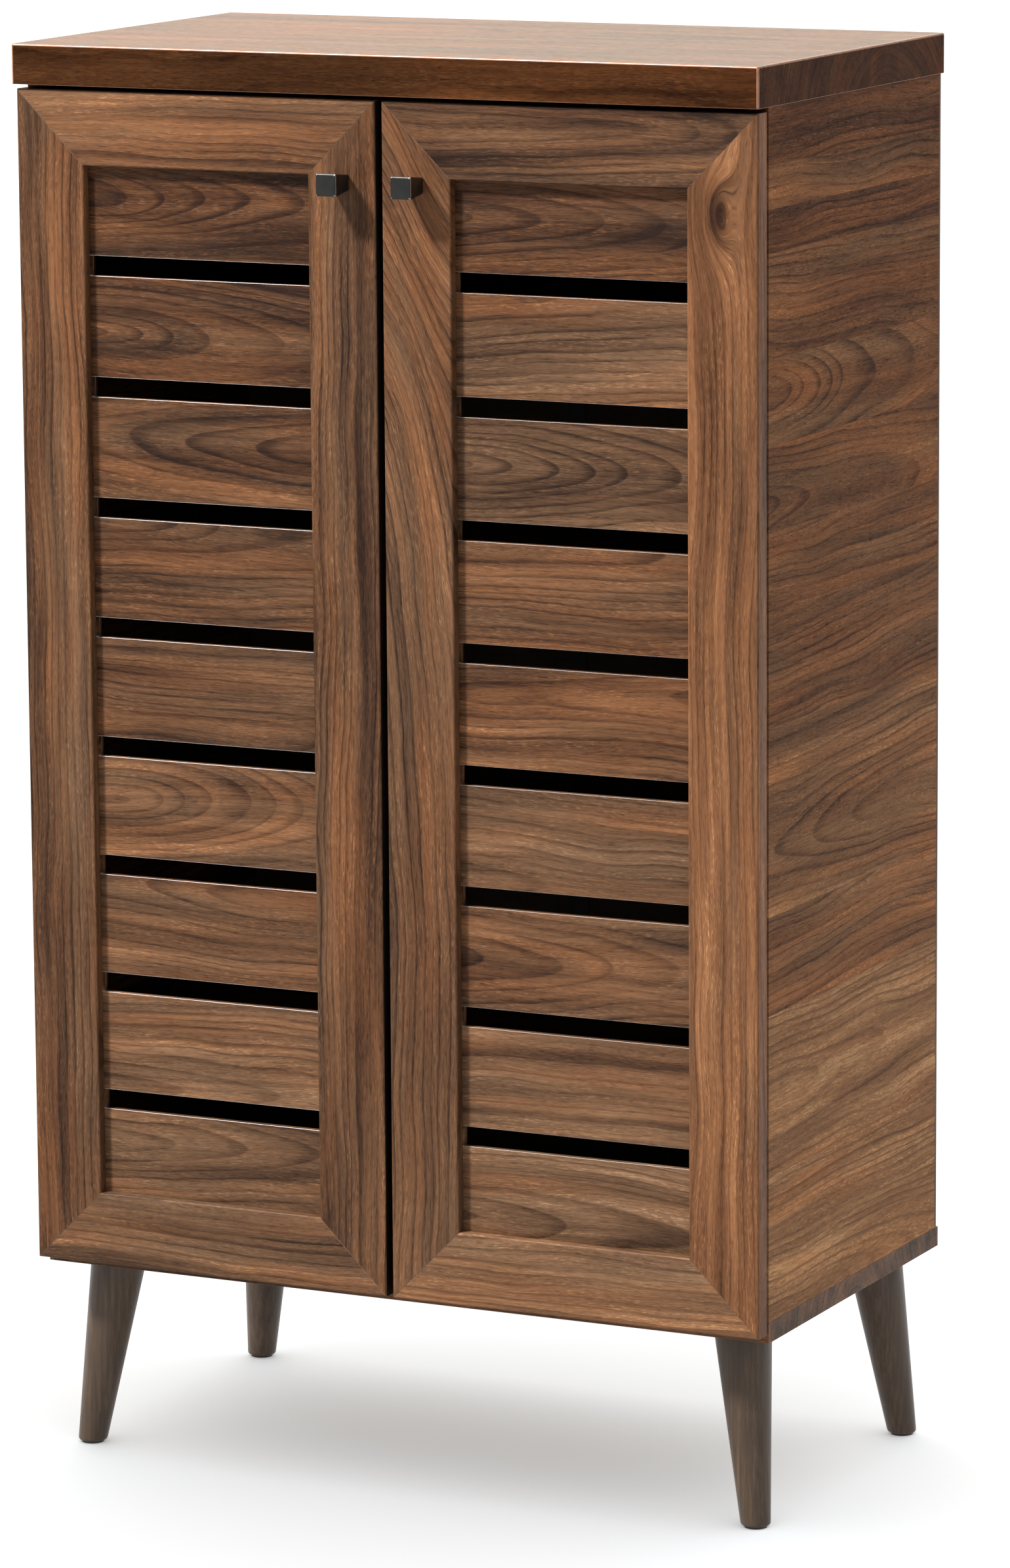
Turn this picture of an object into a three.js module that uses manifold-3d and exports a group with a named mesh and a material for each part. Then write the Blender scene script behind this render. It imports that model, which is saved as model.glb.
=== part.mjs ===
// Two-door shoe cabinet on four splayed legs.
//
// Millimetres, +Z up, +X to the cabinet's right as seen from the front, the front faces -Y.
// The origin is on the floor, under the middle of the whole cabinet with its knobs.

import * as THREE from "three";
import { mergeVertices } from "three/addons/utils/BufferGeometryUtils.js";
import Module from "manifold-3d";

// ---------------------------------------------------------------- driving sizes

const GAP = 0.3;                    // clearance between pieces that touch
const SINK = 0.5;                   // how far joined shapes reach into each other

const WIDTH = 599.4;                // top slab, side to side
const DEPTH = 340.4;                // top slab, front to back
const HEIGHT = 1069.3;              // floor to the top of the slab

const SLAB_THICKNESS = 29.8;
const BOARD_THICKNESS = 15;         // sides, bottom and shelves
const BACK_THICKNESS = 3;
const SIDE_INSET = 1.4;             // slab side to the outer face of a side panel
const BACK_SETBACK = 3.4;           // slab rear to the outer face of the back panels

const DOOR_THICKNESS = 16;
const DOOR_SETBACK = 3.5;           // slab front to the door front
const DOOR_STANDOFF = 1.7;          // door back to the front edges of the carcass
const DOOR_SIDE_INSET = 1.8;        // slab side to the outer edge of a door
const DOOR_TOP_GAP = 3.4;           // slab underside to the top of a door
const DOOR_BOTTOM_REVEAL = 6.6;     // underside of the bottom board to the foot of a door
const MEETING_GAP = 5;              // between the two doors

const STILE_WIDTH = 55;
const RAIL_WIDTH = 55;
const FRONT_ARRIS = 1.6;            // rounded front edges of the frame members
const BACK_ARRIS = 1;
const SLOTTED_THICKNESS = 5;        // recessed panel
const GROOVE_DEPTH = 6;             // groove round the frame that holds the recessed panel
const GROOVE_LIP = 2.7;             // frame left behind the groove

const SLOT_COUNT = 8;
const SLOT_HEIGHT = 15;
const SLOT_OVERRUN = 0.5;           // end of a slot, behind the frame edge
const TOP_SLAT = 66.5;              // visible height above the first slot
const BOTTOM_SLAT = 63.9;           // visible height below the last slot

const LEG_HEIGHT = 146;             // floor to the underside of the bottom board
const LEG_TOP_DIAMETER = 43;
const LEG_FOOT_DIAMETER = 22.4;
const LEG_FOOT_ARRIS = 2;
const LEG_INSET_SIDE = 38.5;        // board edge to the centre of a leg's top
const LEG_INSET_FRONT = 40;
const LEG_INSET_REAR = 35;
const LEG_SPLAY_SIDE = 17.4;        // how far a foot stands out from its leg's top
const LEG_SPLAY_DEPTH = 16;
const GLIDE_DIAMETER = 17;
const GLIDE_THICKNESS = 1.4;

const BOLT_DIAMETER = 8;            // hanger bolts between legs and bottom board
const BOLT_IN_BOARD = 10;
const BOLT_IN_LEG = 25;
const BORE_CLEARANCE = 0.3;         // round a bolt, screw, pin or cup, on the radius

const SHELF_COUNT = 4;
const FIXED_SHELF = 2;              // counted from the bottom
const SHELF_FRONT_SETBACK = 12;     // carcass front to the front edge of a shelf
const SHELF_REAR_CLEARANCE = 4;     // shelf to the back panels
const SHELF_SIDE_CLEARANCE = 2;     // adjustable shelf to a side panel

const PIN_DIAMETER = 5;
const PIN_IN_SIDE = 9;
const PIN_REACH = 8;                // peg under the shelf
const PIN_COLLAR_DIAMETER = 8;
const PIN_COLLAR_THICKNESS = 1.2;
const PIN_INSET = 40;               // carcass front or rear edge to a column of pin holes
const PIN_HOLE_PITCH = 32;
const PIN_HOLES_PER_SHELF = 3;

const KNOB_FACE = 16.4;
const KNOB_BASE = 11.6;
const KNOB_PROJECTION = 25;
const KNOB_ARRIS = 1.2;
const KNOB_SCREW_DIAMETER = 4;
const KNOB_SCREW_IN_KNOB = 12;
const KNOB_SCREW_HEAD_DIAMETER = 8;
const KNOB_SCREW_HEAD_HEIGHT = 2;
const KNOB_DROP = 59.5;             // door top to the centre of a knob

const HINGE_AXIS_INSET = 3.5;       // door edge and door back to the axis it swings on
const CUP_DIAMETER = 34.4;
const CUP_DEPTH = 11.5;
const CUP_WALL = 1.5;
const CUP_EDGE = 5;                 // door edge to the rim of the cup
const CUP_FLANGE_WIDTH = 16;
const CUP_FLANGE_LENGTH = 58;
const CUP_FLANGE_THICKNESS = 1;
const CUP_SCREW_SPACING = 45;
const ARM_LENGTH = 64;
const ARM_WIDTH = 14;
const ARM_HEIGHT = 13;
const ARM_IN_CUP = 4;               // how far a shut door's cup takes in the arm's tip
const PLATE_SETBACK = 37;           // carcass front to the screws of a mounting plate
const PLATE_LENGTH = 50;
const PLATE_WIDTH = 16;
const PLATE_THICKNESS = 2;
const PLATE_SCREW_SPACING = 32;
const SCREW_HEAD_DIAMETER = 7;
const SCREW_HEAD_HEIGHT = 1;

const BUMPER_DIAMETER = 7;
const BUMPER_INSET = 20;            // meeting edge of a door to its bumper

const JOINER_FLANGE = 7;            // joiner strip over each back panel
const JOINER_WALL = 0.8;
const JOINER_WEB = 1;

// ---------------------------------------------------------------- derived levels and planes

const slabFront = -DEPTH / 2;
const slabRear = DEPTH / 2;
const slabUnderside = HEIGHT - SLAB_THICKNESS;

const doorFront = slabFront + DOOR_SETBACK;
const doorBack = doorFront + DOOR_THICKNESS;
const doorOuter = WIDTH / 2 - DOOR_SIDE_INSET;
const doorTop = slabUnderside - DOOR_TOP_GAP;
const doorBottom = LEG_HEIGHT + DOOR_BOTTOM_REVEAL;
const doorWidth = doorOuter - MEETING_GAP / 2;
const doorHeight = doorTop - doorBottom;
const recess = DOOR_THICKNESS - GROOVE_LIP - GAP - SLOTTED_THICKNESS;

const carcassFront = doorBack + DOOR_STANDOFF;
const carcassOuter = WIDTH / 2 - SIDE_INSET;
const carcassInner = carcassOuter - BOARD_THICKNESS;
const boardTop = LEG_HEIGHT + BOARD_THICKNESS;
const backRear = slabRear - BACK_SETBACK;
const backFront = backRear - BACK_THICKNESS;
const sideRear = backFront - GAP;

const insideHeight = slabUnderside - boardTop;
const compartment = (insideHeight - SHELF_COUNT * BOARD_THICKNESS) / (SHELF_COUNT + 1);
const shelfUnderside = (level) => boardTop + level * compartment + (level - 1) * BOARD_THICKNESS;
const shelfFront = carcassFront + SHELF_FRONT_SETBACK;
const shelfRear = backFront - SHELF_REAR_CLEARANCE;
const pinRows = [carcassFront + PIN_INSET, sideRear - PIN_INSET];
const pinAxisBelowShelf = PIN_DIAMETER / 2 + GAP;

const hingeLevels = { bottom: boardTop + compartment / 2, top: slabUnderside - compartment / 2 };
const hingeX = doorOuter - HINGE_AXIS_INSET;
const hingeY = doorBack - HINGE_AXIS_INSET;

// ---------------------------------------------------------------- materials

const finish = (color, roughness, metalness = 0) =>
  new THREE.MeshStandardMaterial({ color, roughness, metalness });

const FINISHES = {
  walnut: () => finish(0x73503a, 0.5),
  slab: () => finish(0x5a3826, 0.42),
  leg: () => finish(0x4b3a32, 0.4),
  interior: () => finish(0x6a4a36, 0.6),
  backing: () => finish(0x4a3629, 0.8),
  gunmetal: () => finish(0x2c2a2b, 0.35, 0.9),
  steel: () => finish(0xb9bcbf, 0.3, 1),
  plastic: () => finish(0x2a2522, 0.6),
  clear: () => finish(0xb8b4ac, 0.4),
};

// ---------------------------------------------------------------- solids

const wasm = await Module();
wasm.setup();

/** The closed solid of a geometry, ready to be joined or cut. */
function solidOf(geometry) {
  const bare = geometry.index ? geometry.toNonIndexed() : geometry.clone();
  bare.deleteAttribute("normal");
  bare.deleteAttribute("uv");
  const merged = mergeVertices(bare, 1e-4);
  return new wasm.Manifold(new wasm.Mesh({
    numProp: 3,
    vertProperties: new Float32Array(merged.attributes.position.array),
    triVerts: new Uint32Array(merged.index.array),
  }));
}

/** A geometry from a joined or cut solid. */
function geometryOf(solid) {
  const mesh = solid.getMesh();
  const geometry = new THREE.BufferGeometry();
  geometry.setAttribute("position", new THREE.BufferAttribute(mesh.vertProperties, 3));
  geometry.setIndex(new THREE.BufferAttribute(mesh.triVerts, 1));
  geometry.computeVertexNormals();
  return geometry;
}

const cut = (geometry, tools) =>
  geometryOf(tools.reduce((solid, tool) => solid.subtract(solidOf(tool)), solidOf(geometry)));

const join = (geometries) =>
  geometryOf(geometries.map(solidOf).reduce((whole, solid) => whole.add(solid)));

/** A box between two opposite corners. */
function boxBetween(low, high) {
  const size = high.map((value, axis) => value - low[axis]);
  const middle = high.map((value, axis) => (value + low[axis]) / 2);
  return new THREE.BoxGeometry(...size).translate(...middle);
}

/** A body turned about +Z from [radius, height] pairs that begin and end on the axis. */
function turned(profile, segments) {
  const points = profile.map(([radius, height]) => new THREE.Vector2(radius, height));
  return new THREE.LatheGeometry(points, segments).rotateX(Math.PI / 2);
}

/** A cylinder that stands on the origin along +Z. */
const rod = (diameter, length, segments = 24) =>
  turned([[0, 0], [diameter / 2, 0], [diameter / 2, length], [0, length]], segments);

/** Turns a body that stands along +Z so that it lies along +X, -X, +Y or -Y. */
const along = {
  right: (geometry) => geometry.rotateY(Math.PI / 2),
  left: (geometry) => geometry.rotateY(-Math.PI / 2),
  back: (geometry) => geometry.rotateX(-Math.PI / 2),
  front: (geometry) => geometry.rotateX(Math.PI / 2),
};

function add(group, name, material, geometry, position = [0, 0, 0]) {
  const mesh = new THREE.Mesh(geometry, material);
  mesh.name = name;
  mesh.position.set(...position);
  group.add(mesh);
}

const SIDES = [["left", -1], ["right", 1]];

/** A screw head on a face at the origin, standing out the given way. */
function screwHead(way) {
  const head = rod(SCREW_HEAD_DIAMETER, SCREW_HEAD_HEIGHT + SINK, 16).translate(0, 0, -SINK);
  return along[way](head);
}

// ---------------------------------------------------------------- carcass boards

function topSlab(group) {
  const low = [-WIDTH / 2, slabFront, slabUnderside];
  add(group, "top_slab", FINISHES.slab(), boxBetween(low, [WIDTH / 2, slabRear, HEIGHT]));
}

/** Centres of the leg tops, with the name and the outward directions of each corner. */
function legCorners() {
  const corners = [];
  for (const [side, sx] of SIDES) {
    const x = sx * (carcassOuter - LEG_INSET_SIDE);
    corners.push({ name: `front_${side}`, sx, sy: -1, x, y: carcassFront + LEG_INSET_FRONT });
    corners.push({ name: `rear_${side}`, sx, sy: 1, x, y: slabRear - LEG_INSET_REAR });
  }
  return corners;
}

const boltBore = (depth) => rod(BOLT_DIAMETER + 2 * BORE_CLEARANCE, depth + GAP);

function bottomBoard(group) {
  const low = [-carcassOuter, carcassFront, LEG_HEIGHT];
  const board = boxBetween(low, [carcassOuter, slabRear, boardTop]);
  const bores = legCorners().map(({ x, y }) => {
    return boltBore(BOLT_IN_BOARD + 1).translate(x, y, LEG_HEIGHT - 1);
  });
  add(group, "bottom_board", FINISHES.walnut(), cut(board, bores));
}

/** Heights of the pin holes that carry one adjustable shelf, the used one in the middle. */
function pinHoleHeights(level) {
  const used = shelfUnderside(level) - pinAxisBelowShelf;
  const middle = (PIN_HOLES_PER_SHELF - 1) / 2;
  return Array.from({ length: PIN_HOLES_PER_SHELF }, (_, i) => used + (i - middle) * PIN_HOLE_PITCH);
}

function adjustableLevels() {
  const levels = Array.from({ length: SHELF_COUNT }, (_, i) => i + 1);
  return levels.filter((level) => level !== FIXED_SHELF);
}

function sidePanels(group) {
  const bottom = boardTop + GAP;
  const top = slabUnderside - GAP;
  for (const [side, sx] of SIDES) {
    const xs = [sx * carcassInner, sx * carcassOuter].sort((a, b) => a - b);
    const panel = boxBetween([xs[0], carcassFront, bottom], [xs[1], sideRear, top]);
    const holes = [];
    for (const z of adjustableLevels().flatMap(pinHoleHeights)) {
      for (const y of pinRows) {
        const hole = rod(PIN_DIAMETER + 2 * BORE_CLEARANCE, PIN_IN_SIDE + GAP + 1, 12);
        along[side](hole).translate(sx * (carcassInner - 1), y, z);
        holes.push(hole);
      }
    }
    add(group, `side_panel_${side}`, FINISHES.walnut(), cut(panel, holes));
  }
}

function backPanels(group) {
  const bottom = boardTop + GAP;
  const top = slabUnderside - GAP;
  const meeting = JOINER_WEB / 2 + GAP;
  for (const [side, sx] of SIDES) {
    const xs = [sx * meeting, sx * carcassOuter].sort((a, b) => a - b);
    const panel = boxBetween([xs[0], backFront, bottom], [xs[1], backRear, top]);
    add(group, `back_panel_${side}`, FINISHES.backing(), panel);
  }

  const reach = meeting + JOINER_FLANGE;
  const flange = (y) => boxBetween([-reach, y, bottom], [reach, y + JOINER_WALL, top]);
  const insideFlange = flange(backFront - GAP - JOINER_WALL);
  const outsideFlange = flange(backRear + GAP);
  const webLow = [-JOINER_WEB / 2, backFront - GAP - JOINER_WALL / 2, bottom];
  const web = boxBetween(webLow, [JOINER_WEB / 2, backRear + GAP + JOINER_WALL / 2, top]);
  add(group, "back_joiner", FINISHES.plastic(), join([insideFlange, outsideFlange, web]));
}

// ---------------------------------------------------------------- shelves

function shelfPin(side) {
  const r = PIN_DIAMETER / 2;
  const collar = PIN_COLLAR_DIAMETER / 2;
  const face = PIN_IN_SIDE + GAP;
  const pin = turned([
    [0, 0], [r, 0], [r, face], [collar, face],
    [collar, face + PIN_COLLAR_THICKNESS], [r, face + PIN_COLLAR_THICKNESS],
    [r, face + PIN_REACH], [0, face + PIN_REACH],
  ], 12);
  const inward = side === "left" ? "right" : "left";
  return along[inward](pin);
}

function shelves(group) {
  for (let level = 1; level <= SHELF_COUNT; level += 1) {
    const fixed = level === FIXED_SHELF;
    const reach = carcassInner - (fixed ? GAP : SHELF_SIDE_CLEARANCE);
    const bottom = shelfUnderside(level);
    const low = [-reach, shelfFront, bottom];
    const board = boxBetween(low, [reach, shelfRear, bottom + BOARD_THICKNESS]);
    add(group, fixed ? "fixed_shelf" : `shelf_${level}`, FINISHES.interior(), board);
    if (fixed) continue;

    const z = bottom - pinAxisBelowShelf;
    for (const [side, sx] of SIDES) {
      for (const [row, y] of [["front", pinRows[0]], ["rear", pinRows[1]]]) {
        const seat = [sx * (carcassInner + PIN_IN_SIDE), y, z];
        add(group, `pin_${level}_${row}_${side}`, FINISHES.steel(), shelfPin(side), seat);
      }
    }
  }
}

// ---------------------------------------------------------------- legs

/** A round tapered leg, its top at z = 0, its foot leaning out by the splay. */
function legSolid(sx, sy) {
  const length = LEG_HEIGHT - GLIDE_THICKNESS - 2 * GAP;
  const top = LEG_TOP_DIAMETER / 2;
  const foot = LEG_FOOT_DIAMETER / 2;
  const profile = [[0, -length]];
  for (let i = 0; i <= 3; i += 1) {
    const angle = (i / 3) * (Math.PI / 2);
    const r = foot - LEG_FOOT_ARRIS * (1 - Math.sin(angle));
    profile.push([r, -length + LEG_FOOT_ARRIS * (1 - Math.cos(angle))]);
  }
  profile.push([top, 0], [0, 0]);
  const leg = turned(profile, 40);

  const position = leg.attributes.position;
  for (let i = 0; i < position.count; i += 1) {
    const lean = -position.getZ(i) / length;
    position.setX(i, position.getX(i) + sx * LEG_SPLAY_SIDE * lean);
    position.setY(i, position.getY(i) + sy * LEG_SPLAY_DEPTH * lean);
  }
  return cut(leg, [boltBore(BOLT_IN_LEG + 1).translate(0, 0, -BOLT_IN_LEG - GAP)]);
}

function legs(group) {
  for (const { name, sx, sy, x, y } of legCorners()) {
    const leg = new THREE.Group();
    leg.position.set(x, y, LEG_HEIGHT - GAP);
    add(leg, `leg_${name}`, FINISHES.leg(), legSolid(sx, sy));

    const bolt = rod(BOLT_DIAMETER, BOLT_IN_LEG + BOLT_IN_BOARD, 16);
    add(leg, `leg_bolt_${name}`, FINISHES.steel(), bolt, [0, 0, -BOLT_IN_LEG + GAP]);

    const foot = [sx * LEG_SPLAY_SIDE, sy * LEG_SPLAY_DEPTH, GAP - LEG_HEIGHT];
    add(leg, `floor_glide_${name}`, FINISHES.plastic(), rod(GLIDE_DIAMETER, GLIDE_THICKNESS), foot);
    group.add(leg);
  }
}

// ---------------------------------------------------------------- doors

/** Section of a frame member: x from the outer edge inwards, y from the front backwards. */
function memberSection(width) {
  const section = new THREE.Shape();
  const groove = { front: recess - GAP, back: DOOR_THICKNESS - GROOVE_LIP };
  section.moveTo(0, FRONT_ARRIS);
  section.absarc(FRONT_ARRIS, FRONT_ARRIS, FRONT_ARRIS, Math.PI, 1.5 * Math.PI, false);
  section.absarc(width - FRONT_ARRIS, FRONT_ARRIS, FRONT_ARRIS, 1.5 * Math.PI, 2 * Math.PI, false);
  section.lineTo(width, groove.front);
  section.lineTo(width - GROOVE_DEPTH, groove.front);
  section.lineTo(width - GROOVE_DEPTH, groove.back);
  section.lineTo(width, groove.back);
  section.lineTo(width, DOOR_THICKNESS);
  section.lineTo(BACK_ARRIS, DOOR_THICKNESS);
  section.absarc(BACK_ARRIS, DOOR_THICKNESS - BACK_ARRIS, BACK_ARRIS, 0.5 * Math.PI, Math.PI, false);
  section.closePath();
  return section;
}

/**
 * A mitred frame member, its outer edge along +Z from the origin, its front at y = 0.
 * Each end slopes back by the other member's width over this one's.
 */
function mitredMember(width, otherWidth, length) {
  const slope = otherWidth / width;
  const relief = (GAP / 2) * Math.hypot(1, slope);
  const settings = { depth: length, bevelEnabled: false, steps: 1, curveSegments: 4 };
  const member = new THREE.ExtrudeGeometry(memberSection(width), settings);
  const position = member.attributes.position;
  for (let i = 0; i < position.count; i += 1) {
    const shift = position.getX(i) * slope + relief;
    const z = position.getZ(i);
    position.setZ(i, z < length / 2 ? z + shift : z - shift);
  }
  return member;
}

/** The recessed panel, the opening's lower left corner at the origin, its front at y = 0. */
function slottedPanel(openingWidth, openingHeight) {
  const hold = GROOVE_DEPTH - GAP;
  const width = openingWidth + 2 * hold;
  const height = openingHeight + 2 * hold;
  const outline = new THREE.Shape();
  outline.moveTo(0, 0);
  outline.lineTo(width, 0);
  outline.lineTo(width, height);
  outline.lineTo(0, height);
  outline.closePath();

  const pitch = (openingHeight - TOP_SLAT - BOTTOM_SLAT - SLOT_HEIGHT) / (SLOT_COUNT - 1);
  const left = hold - SLOT_OVERRUN;
  const right = width - hold + SLOT_OVERRUN;
  for (let i = 0; i < SLOT_COUNT; i += 1) {
    const low = hold + BOTTOM_SLAT + i * pitch;
    const slot = new THREE.Path();
    slot.moveTo(left, low);
    slot.lineTo(left, low + SLOT_HEIGHT);
    slot.lineTo(right, low + SLOT_HEIGHT);
    slot.lineTo(right, low);
    slot.closePath();
    outline.holes.push(slot);
  }
  const settings = { depth: SLOTTED_THICKNESS, bevelEnabled: false };
  const panel = new THREE.ExtrudeGeometry(outline, settings);
  return panel.rotateX(Math.PI / 2).translate(-hold, SLOTTED_THICKNESS, -hold);
}

/** A square knob that widens from its base at y = 0 towards its face at -y. */
function knobSolid() {
  const corner = Math.SQRT2 / 2;
  const bore = KNOB_SCREW_DIAMETER / 2 + BORE_CLEARANCE;
  const face = KNOB_FACE * corner;
  const shoulder = KNOB_PROJECTION - KNOB_ARRIS;
  const body = turned([
    [0, 0], [KNOB_BASE * corner, 0], [face, shoulder],
    [face - KNOB_ARRIS * corner * 2, KNOB_PROJECTION], [0, KNOB_PROJECTION],
  ], 4).rotateZ(Math.PI / 4);
  const hole = rod(2 * bore, KNOB_SCREW_IN_KNOB + GAP + 1, 16).translate(0, 0, -1);
  return along.front(cut(body, [hole]));
}

function knobScrew() {
  const r = KNOB_SCREW_DIAMETER / 2;
  const head = KNOB_SCREW_HEAD_DIAMETER / 2;
  const shank = KNOB_SCREW_HEAD_HEIGHT + DOOR_THICKNESS + 2 * GAP + KNOB_SCREW_IN_KNOB;
  const screw = turned([
    [0, 0], [head, 0], [head, KNOB_SCREW_HEAD_HEIGHT], [r, KNOB_SCREW_HEAD_HEIGHT],
    [r, shank], [0, shank],
  ], 16);
  return along.front(screw);
}

/** A hinge cup sunk towards -y from the door's back at y = 0, with its flange behind it. */
function hingeCup() {
  const flangeBack = GAP + CUP_FLANGE_THICKNESS;
  const sunk = along.front(rod(CUP_DIAMETER, CUP_DEPTH + flangeBack, 32));
  const hollow = along.front(rod(CUP_DIAMETER - 2 * CUP_WALL, CUP_DEPTH + flangeBack, 32));
  sunk.translate(0, flangeBack, 0);
  hollow.translate(0, flangeBack + CUP_WALL, 0);

  const w = CUP_FLANGE_WIDTH / 2;
  const l = CUP_FLANGE_LENGTH / 2;
  const flange = boxBetween([-w, GAP, -l], [w, flangeBack, l]);
  const heads = [-1, 1].map((end) => {
    const z = (end * CUP_SCREW_SPACING) / 2;
    return screwHead("back").translate(0, flangeBack, z);
  });
  return cut(join([sunk, flange, ...heads]), [hollow]);
}

/** The arm and mounting plate on the right side panel's inner face, the screws' centre at 0. */
function hingeArm() {
  const foot = GAP + PLATE_THICKNESS;
  const crown = foot + ARM_HEIGHT;
  const tip = doorBack - ARM_IN_CUP - carcassFront - PLATE_SETBACK;
  const rear = tip + ARM_LENGTH;
  const outline = new THREE.Shape();
  outline.moveTo(-foot + SINK, tip + 6);
  outline.lineTo(-foot - 3, tip);
  outline.lineTo(-crown + 4, tip);
  outline.lineTo(-crown, tip + 5);
  outline.lineTo(-crown, rear - 12);
  outline.lineTo(-crown + 4, rear);
  outline.lineTo(-foot + SINK, rear);
  outline.closePath();
  const arm = new THREE.ExtrudeGeometry(outline, { depth: ARM_WIDTH, bevelEnabled: false });
  arm.translate(0, 0, -ARM_WIDTH / 2);

  const w = PLATE_WIDTH / 2;
  const l = PLATE_LENGTH / 2;
  const plate = boxBetween([-foot, -w, -l], [-GAP, w, l]);
  const heads = [-1, 1].map((end) => {
    const z = (end * PLATE_SCREW_SPACING) / 2;
    return screwHead("left").translate(-foot, 0, z);
  });
  return join([plate, arm, ...heads]);
}

/** The solid of a frame member in the door's own group, after its bores are cut. */
function placedMember({ turn, corner, width, otherWidth, length, bores = [] }) {
  const member = mitredMember(width, otherWidth, length).rotateY((turn * Math.PI) / 2);
  return cut(member.translate(corner[0], doorFront - hingeY, corner[1]), bores);
}

function door(group, side, sx) {
  // The group stands on the axis that the door swings on.
  const leaf = new THREE.Group();
  leaf.position.set(sx * hingeX, hingeY, 0);
  group.add(leaf);

  const fromEdge = (distance) => sx * (HINGE_AXIS_INSET - distance);
  const left = Math.min(fromEdge(0), fromEdge(doorWidth));
  const right = Math.max(fromEdge(0), fromEdge(doorWidth));
  const front = doorFront - hingeY;
  const back = doorBack - hingeY;

  const knobSeat = [fromEdge(doorWidth - STILE_WIDTH / 2), front - GAP, doorTop - KNOB_DROP];
  const knobBoreDiameter = KNOB_SCREW_DIAMETER + 2 * BORE_CLEARANCE;
  const knobBore = along.back(rod(knobBoreDiameter, DOOR_THICKNESS + 2, 16));
  knobBore.translate(knobSeat[0], front - 1, knobSeat[2]);

  const cupX = fromEdge(CUP_EDGE + CUP_DIAMETER / 2);
  const cupBores = Object.values(hingeLevels).map((z) => {
    const bore = rod(CUP_DIAMETER + 2 * BORE_CLEARANCE, CUP_DEPTH + GAP + 1, 32);
    return along.front(bore).translate(cupX, back + 1, z);
  });

  // The four members follow each other round the frame, a quarter turn apart.
  const stile = { width: STILE_WIDTH, otherWidth: RAIL_WIDTH, length: doorHeight };
  const rail = { width: RAIL_WIDTH, otherWidth: STILE_WIDTH, length: right - left };
  const hingeStile = { ...stile, name: "hinge_stile", bores: cupBores };
  const meetingStile = { ...stile, name: "meeting_stile", bores: [knobBore] };
  const [leftStile, rightStile] =
    side === "left" ? [hingeStile, meetingStile] : [meetingStile, hingeStile];
  const members = [
    { ...leftStile, turn: 0, corner: [left, doorBottom] },
    { ...rail, name: "top_rail", turn: 1, corner: [left, doorTop] },
    { ...rightStile, turn: 2, corner: [right, doorTop] },
    { ...rail, name: "bottom_rail", turn: 3, corner: [right, doorBottom] },
  ];
  for (const member of members) {
    add(leaf, `door_${side}_${member.name}`, FINISHES.walnut(), placedMember(member));
  }

  const openingWidth = right - left - 2 * STILE_WIDTH;
  const openingHeight = doorHeight - 2 * RAIL_WIDTH;
  const panelSeat = [left + STILE_WIDTH, front + recess, doorBottom + RAIL_WIDTH];
  const panel = slottedPanel(openingWidth, openingHeight);
  add(leaf, `door_${side}_slotted_panel`, FINISHES.walnut(), panel, panelSeat);

  add(leaf, `knob_${side}`, FINISHES.gunmetal(), knobSolid(), knobSeat);
  const headSeat = [knobSeat[0], back + GAP + KNOB_SCREW_HEAD_HEIGHT, knobSeat[2]];
  add(leaf, `knob_screw_${side}`, FINISHES.steel(), knobScrew(), headSeat);

  for (const [level, z] of Object.entries(hingeLevels)) {
    add(leaf, `hinge_cup_${level}_${side}`, FINISHES.steel(), hingeCup(), [cupX, back, z]);
  }
}

/** What meets the doors on the carcass: the hinge arms and the rubber bumpers. */
function doorHardware(group, side, sx) {
  const plateY = carcassFront + PLATE_SETBACK;
  for (const [level, z] of Object.entries(hingeLevels)) {
    const arm = side === "left" ? hingeArm().rotateY(Math.PI) : hingeArm();
    const seat = [sx * carcassInner, plateY, z];
    add(group, `hinge_arm_${level}_${side}`, FINISHES.steel(), arm, seat);
  }

  const thickness = DOOR_STANDOFF - 2 * GAP;
  const bumper = along.front(rod(BUMPER_DIAMETER, thickness, 16));
  const z = (doorBottom + boardTop) / 2;
  const seat = [sx * (MEETING_GAP / 2 + BUMPER_INSET), carcassFront - GAP, z];
  add(group, `door_bumper_${side}`, FINISHES.clear(), bumper, seat);
}

// ---------------------------------------------------------------- assembly

const cabinet = new THREE.Group();
const knobFront = doorFront - GAP - KNOB_PROJECTION;
cabinet.position.y = -(knobFront + slabRear) / 2;

topSlab(cabinet);
sidePanels(cabinet);
bottomBoard(cabinet);
backPanels(cabinet);
shelves(cabinet);
legs(cabinet);
for (const [side, sx] of SIDES) {
  door(cabinet, side, sx);
  doorHardware(cabinet, side, sx);
}

export default cabinet;
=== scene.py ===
"""The looks of a two-door walnut shoe cabinet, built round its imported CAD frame."""

from math import radians

import bmesh
import bpy
from mathutils import Matrix, Vector

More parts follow.
